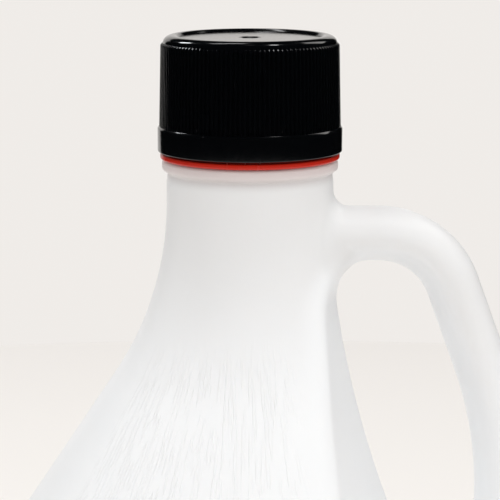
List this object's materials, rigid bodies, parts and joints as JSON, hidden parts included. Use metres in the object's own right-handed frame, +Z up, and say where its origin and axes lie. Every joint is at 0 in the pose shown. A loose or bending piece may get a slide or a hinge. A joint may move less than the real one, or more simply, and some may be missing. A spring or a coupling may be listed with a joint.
{
  "type": "chemical jug",
  "caption": "Blow-moulded jug with a conical shoulder, a hollow side grip and a ribbed screw cap over a sealing wad and a neck ring; holds and pours liquids.",
  "frame": {"origin": "centre of the standing ring under the base, on the jug's axis", "axes": "+Z up the jug's axis to the cap, +X towards the grip"},
  "size_m": [0.166, 0.166, 0.3149],
  "materials": {
    "natural_plastic": "satin",
    "red_plastic": "satin",
    "foam": "matte",
    "black_plastic": "satin"
  },
  "bodies": {
    "jug": {"jug": "natural_plastic", "tamper_ring": "red_plastic"},
    "wad": {"wad": "foam"},
    "cap": {"cap": "black_plastic"}
  },
  "joints": [
    {"name": "cap_lift", "type": "slide", "parent": "jug", "child": "wad", "axis": [0, 0, 1], "range_m": [0, 0.0601]},
    {"name": "cap_turn", "type": "hinge", "parent": "wad", "child": "cap", "pos_m": [0, 0, 0.2966], "axis": [0, 0, 1], "range_deg": [0, 4320]}
  ],
  "couplings": [
    {"joint": "cap_lift", "follows": "cap_turn", "m_per_rad": 0.00079577}
  ]
}
